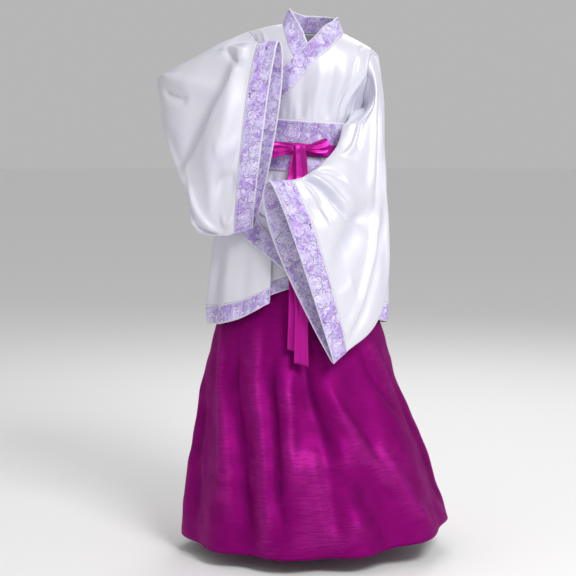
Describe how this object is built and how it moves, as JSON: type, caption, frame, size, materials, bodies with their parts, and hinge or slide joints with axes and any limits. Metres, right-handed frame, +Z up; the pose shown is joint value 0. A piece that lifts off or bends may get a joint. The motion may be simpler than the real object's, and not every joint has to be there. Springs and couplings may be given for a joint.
{
  "type": "hanfu",
  "caption": "Worn hanfu set: cross-collared satin jacket with wide sleeves and brocade bands, long flared skirt, waistband and ribbon belt tied in a bow.",
  "frame": {"origin": "middle of the shoulder line at the neck, where the wearer holds the jacket up", "axes": "+Z up, the front faces -Y, the wearer's left side is +X"},
  "size_m": [0.7128, 0.5707, 1.2841],
  "materials": {
    "white satin": "satin",
    "lavender brocade": "woven satin",
    "magenta satin": "satin",
    "magenta ribbon": "glossy satin"
  },
  "bodies": {
    "root": {"jacket_back": "white satin", "jacket_front_left": "white satin", "jacket_front_right": "white satin", "sleeve_right": "white satin", "sleeve_left": "white satin", "cuff_right": "lavender brocade", "cuff_left": "lavender brocade", "collar": "lavender brocade", "front_edge_band": "lavender brocade", "hem_band_back": "lavender brocade", "hem_band_front_left": "lavender brocade", "hem_band_front_right": "lavender brocade", "waistband": "lavender brocade", "ribbon_belt": "magenta ribbon", "ribbon_knot": "magenta ribbon", "bow_loop_right": "magenta ribbon", "bow_loop_left": "magenta ribbon", "ribbon_tail_right": "magenta ribbon", "ribbon_tail_left": "magenta ribbon", "skirt_front": "magenta satin", "skirt_back": "magenta satin", "skirt_waistband": "magenta satin"}
  },
  "joints": []
}
